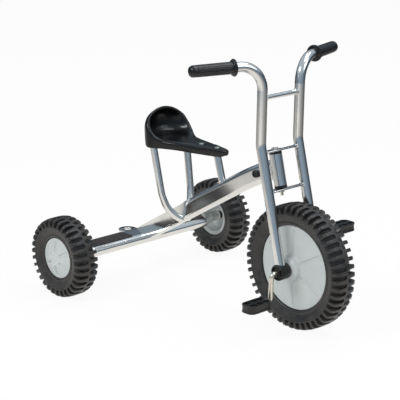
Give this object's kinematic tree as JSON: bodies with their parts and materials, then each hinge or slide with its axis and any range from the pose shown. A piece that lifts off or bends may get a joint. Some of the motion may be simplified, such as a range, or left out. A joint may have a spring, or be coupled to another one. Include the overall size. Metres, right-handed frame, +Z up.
{
  "type": "children's tricycle",
  "caption": "Front-wheel-drive children's tricycle: raked fork steering in a head tube, direct pedals, sloping beam, moulded saddle and lugged tyres.",
  "frame": {"origin": "on the ground, midway between the foremost and rearmost points of the tyres, on the centre plane", "axes": "+X points the way the tricycle rides, +Y to the rider's left, +Z up"},
  "size_m": [0.8464, 0.62, 0.676],
  "materials": {
    "steel_tube": "zinc and clear powder coat on welded steel, satin bright",
    "zinc_steel": "bright zinc-plated steel",
    "wheel_plastic": "pale grey moulded nylon, satin",
    "tyre": "matt black moulded rubber",
    "seat_plastic": "glossy black moulded polypropylene",
    "black_plastic": "satin black moulded nylon",
    "pedal_plastic": "semi-gloss black moulded plastic",
    "black_rubber": "matt black rubber",
    "grip_rubber": "ribbed black rubber",
    "grip_pad": "coarse-grained anti-slip sheet, dark brown-black"
  },
  "bodies": {
    "frame": {"main_beam": "steel_tube", "head_tube": "steel_tube", "head_bushes": "black_plastic", "steering_buffers": "black_rubber", "rear_axle": "steel_tube", "axle_collars": "zinc_steel", "hub_spacers": "black_plastic", "tow_tab": "steel_tube", "step_pads": "grip_pad", "seat_post_right": "steel_tube", "seat_post_left": "steel_tube", "seat_post_front": "steel_tube", "seat_bracket": "steel_tube", "seat": "seat_plastic", "seat_bolts": "zinc_steel"},
    "fork": {"handlebar_right": "steel_tube", "handlebar_left": "steel_tube", "grip_right": "grip_rubber", "grip_left": "grip_rubber", "upper_cross_bar": "steel_tube", "middle_cross_plate": "steel_tube", "lower_cross_plate": "steel_tube", "king_bolt": "zinc_steel", "axle_housing_right": "black_plastic", "axle_housing_left": "black_plastic"},
    "front_wheel": {"front_wheel": "wheel_plastic", "front_tyre": "tyre", "crank_axle": "zinc_steel"},
    "pedal_right": {"pedal_right": "pedal_plastic"},
    "pedal_left": {"pedal_left": "pedal_plastic"},
    "rear_wheel_right": {"rear_wheel_right": "wheel_plastic", "rear_tyre_right": "tyre"},
    "rear_wheel_left": {"rear_wheel_left": "wheel_plastic", "rear_tyre_left": "tyre"}
  },
  "joints": [
    {"name": "steering", "type": "hinge", "parent": "frame", "child": "fork", "pos_m": [0.18957, 0, 0.387], "axis": [-0.2334, 0, 0.9724], "range_deg": [-60, 60]},
    {"name": "front_wheel_spin", "type": "hinge", "parent": "fork", "child": "front_wheel", "pos_m": [0.26575, 0, 0.1575], "axis": [0, 1, 0], "continuous": true},
    {"name": "pedal_right_spin", "type": "hinge", "parent": "front_wheel", "child": "pedal_right", "pos_m": [0.26214, -0.1445, 0.08859], "axis": [0, 1, 0], "continuous": true},
    {"name": "pedal_left_spin", "type": "hinge", "parent": "front_wheel", "child": "pedal_left", "pos_m": [0.26936, 0.1445, 0.22641], "axis": [0, 1, 0], "continuous": true},
    {"name": "rear_wheel_right_spin", "type": "hinge", "parent": "frame", "child": "rear_wheel_right", "pos_m": [-0.31725, -0.276, 0.106], "axis": [0, 1, 0], "continuous": true},
    {"name": "rear_wheel_left_spin", "type": "hinge", "parent": "frame", "child": "rear_wheel_left", "pos_m": [-0.31725, 0.276, 0.106], "axis": [0, 1, 0], "continuous": true}
  ]
}
